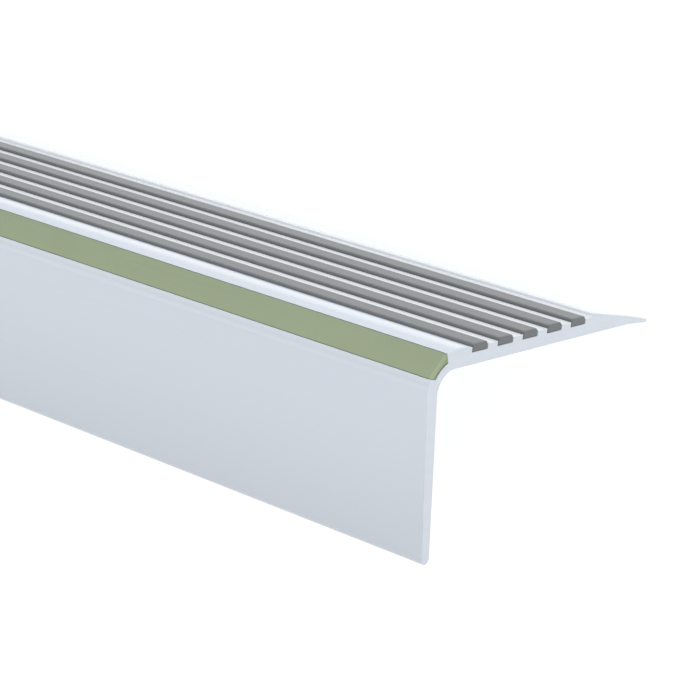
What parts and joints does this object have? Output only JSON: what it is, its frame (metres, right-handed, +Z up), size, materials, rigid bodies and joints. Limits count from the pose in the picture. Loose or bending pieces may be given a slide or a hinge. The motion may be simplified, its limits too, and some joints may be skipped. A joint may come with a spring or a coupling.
{
  "type": "stair nosing",
  "caption": "Extruded plastic stair nosing: a rounded angle with grey grip strips let into its tread, a pale green glow strip along its nose and a thin ramped tail.",
  "frame": {"origin": "on the floor under the middle of the part's bounding box", "axes": "+X along the length, +Y from the riser leg towards the tail, +Z up from the floor; the part stands like a tent on the tips of its two legs"},
  "size_m": [1, 0.066, 0.0312],
  "materials": {
    "profile_plastic": "satin pale blue-grey extruded PVC",
    "glow_plastic": "matte pale sage-green luminous plastic",
    "grip_rubber": "matte mid-grey filled rubber with a fine grain"
  },
  "bodies": {
    "root": {"nosing_profile": "profile_plastic", "glow_strip": "glow_plastic", "grip_strip_1": "grip_rubber", "grip_strip_2": "grip_rubber", "grip_strip_3": "grip_rubber", "grip_strip_4": "grip_rubber", "grip_strip_5": "grip_rubber"}
  },
  "joints": []
}
